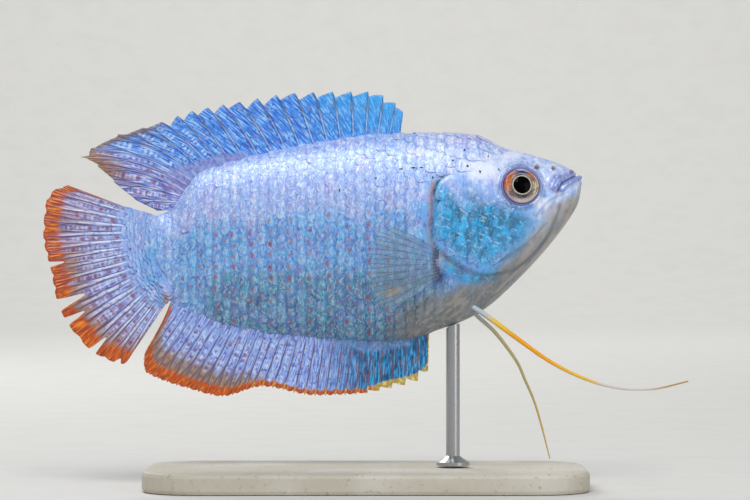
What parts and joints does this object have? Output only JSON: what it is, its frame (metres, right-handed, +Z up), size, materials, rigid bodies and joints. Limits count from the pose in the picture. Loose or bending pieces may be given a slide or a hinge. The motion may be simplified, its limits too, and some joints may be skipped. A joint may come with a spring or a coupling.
{
  "type": "dwarf gourami model",
  "caption": "Still, life-size model of a powder-blue male dwarf gourami with spread fins and thread-like feelers, held above a flat base by a short rod.",
  "frame": {"origin": "centre of the underside of the stand's base, below the middle of the fish's whole length", "axes": "+X towards the fish's head, +Z up, so -Y is the fish's right side, which the picture shows"},
  "size_m": [0.093, 0.03, 0.0575],
  "materials": {
    "skin": "moist scaled skin, pale silvery blue with a lavender sheen and rows of small red-brown spots",
    "gill_cover": "moist scaled cheek, bright turquoise blue",
    "eye": "glossy eye, black pupil in a thin gold ring and an orange and gold iris",
    "fin": "thin wet web between raised rays, blue to violet with maroon spots and orange-red edges",
    "clear_fin": "nearly clear web between fine rays",
    "feeler": "moist yellow-orange thread",
    "base": "honed pale limestone with softened edges",
    "rod": "turned and brushed stainless steel"
  },
  "bodies": {
    "root": {"head": "skin", "jaw": "skin", "gill_cover_left": "gill_cover", "gill_cover_right": "gill_cover", "torso": "skin", "tail_stalk": "skin", "eye_left": "eye", "eye_right": "eye", "dorsal_fin": "fin", "anal_fin": "fin", "tail_fin": "fin", "pectoral_fin_left": "clear_fin", "pectoral_fin_right": "clear_fin", "pelvic_fin_left": "feeler", "pelvic_fin_right": "feeler", "stand_base": "base", "stand_rod": "rod"}
  },
  "joints": []
}
